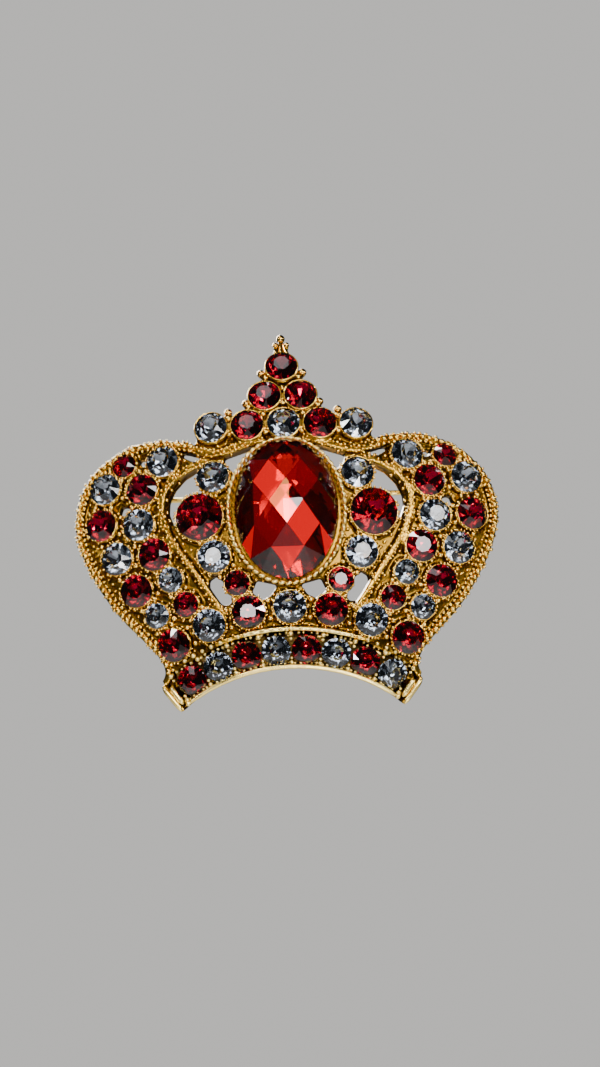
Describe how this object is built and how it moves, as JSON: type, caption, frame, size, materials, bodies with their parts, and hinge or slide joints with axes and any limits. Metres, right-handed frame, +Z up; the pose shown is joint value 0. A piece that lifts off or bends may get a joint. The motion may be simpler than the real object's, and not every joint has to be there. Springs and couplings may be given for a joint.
{
  "type": "crown brooch",
  "caption": "Domed openwork crown brooch set with round stones and one large oval stone, with a hinged pin and a rolling safety catch on its back.",
  "frame": {"origin": "middle of the closed pin stem, on its axis, where the fabric holds the brooch", "axes": "+Z up, towards the tip of the spire; -Y out of the front; +X to the right of the crown seen from the front"},
  "size_m": [0.0554, 0.0141, 0.0503],
  "materials": {
    "cast_gold": "polished gold plate",
    "fitting_gold": "gold plate",
    "pin_wire": "gold-plated steel wire",
    "oval_red": "polished, foil behind",
    "red_glass": "polished, foil behind",
    "clear_glass": "polished, foil behind",
    "band_glass": "polished, foil behind"
  },
  "bodies": {
    "crown": {"band_stones": "band_glass", "catch_base": "fitting_gold", "crown_frame": "cast_gold", "hinge_rivet": "pin_wire", "left_inner_stone_1": "clear_glass", "left_inner_stone_2": "red_glass", "left_inner_stone_3": "clear_glass", "left_inner_stone_4": "red_glass", "left_inner_stone_5": "red_glass", "left_spire_stone_inner": "red_glass", "left_spire_stone_mid": "red_glass", "left_spire_stone_outer": "clear_glass", "left_wing_stone_01": "clear_glass", "left_wing_stone_02": "red_glass", "left_wing_stone_03": "clear_glass", "left_wing_stone_04": "red_glass", "left_wing_stone_05": "red_glass", "left_wing_stone_06": "clear_glass", "left_wing_stone_07": "clear_glass", "left_wing_stone_08": "red_glass", "left_wing_stone_09": "clear_glass", "left_wing_stone_10": "red_glass", "left_wing_stone_11": "red_glass", "left_wing_stone_12": "clear_glass", "left_wing_stone_13": "clear_glass", "left_wing_stone_14": "red_glass", "lower_stone_centre": "clear_glass", "oval_stone": "oval_red", "pin_joint": "fitting_gold", "right_inner_stone_1": "clear_glass", "right_inner_stone_2": "red_glass", "right_inner_stone_3": "clear_glass", "right_inner_stone_4": "red_glass", "right_inner_stone_5": "red_glass", "right_spire_stone_inner": "red_glass", "right_spire_stone_mid": "red_glass", "right_spire_stone_outer": "clear_glass", "right_wing_stone_01": "clear_glass", "right_wing_stone_02": "red_glass", "right_wing_stone_03": "clear_glass", "right_wing_stone_04": "red_glass", "right_wing_stone_05": "red_glass", "right_wing_stone_06": "clear_glass", "right_wing_stone_07": "clear_glass", "right_wing_stone_08": "red_glass", "right_wing_stone_09": "clear_glass", "right_wing_stone_10": "red_glass", "right_wing_stone_11": "red_glass", "right_wing_stone_12": "clear_glass", "right_wing_stone_13": "clear_glass", "right_wing_stone_14": "red_glass", "spire_stone_centre": "clear_glass", "spire_stone_top": "red_glass"},
    "pin": {"pin_stem": "pin_wire"},
    "catch": {"catch_roller": "fitting_gold"}
  },
  "joints": [
    {"name": "pin_hinge", "type": "hinge", "parent": "crown", "child": "pin", "pos_m": [-0.01848, 0, 0], "axis": [0, 0, 1], "range_deg": [0, 100]},
    {"name": "catch_turn", "type": "hinge", "parent": "crown", "child": "catch", "pos_m": [0.01848, 0, 0], "axis": [1, 0, 0], "range_deg": [0, 95]}
  ]
}
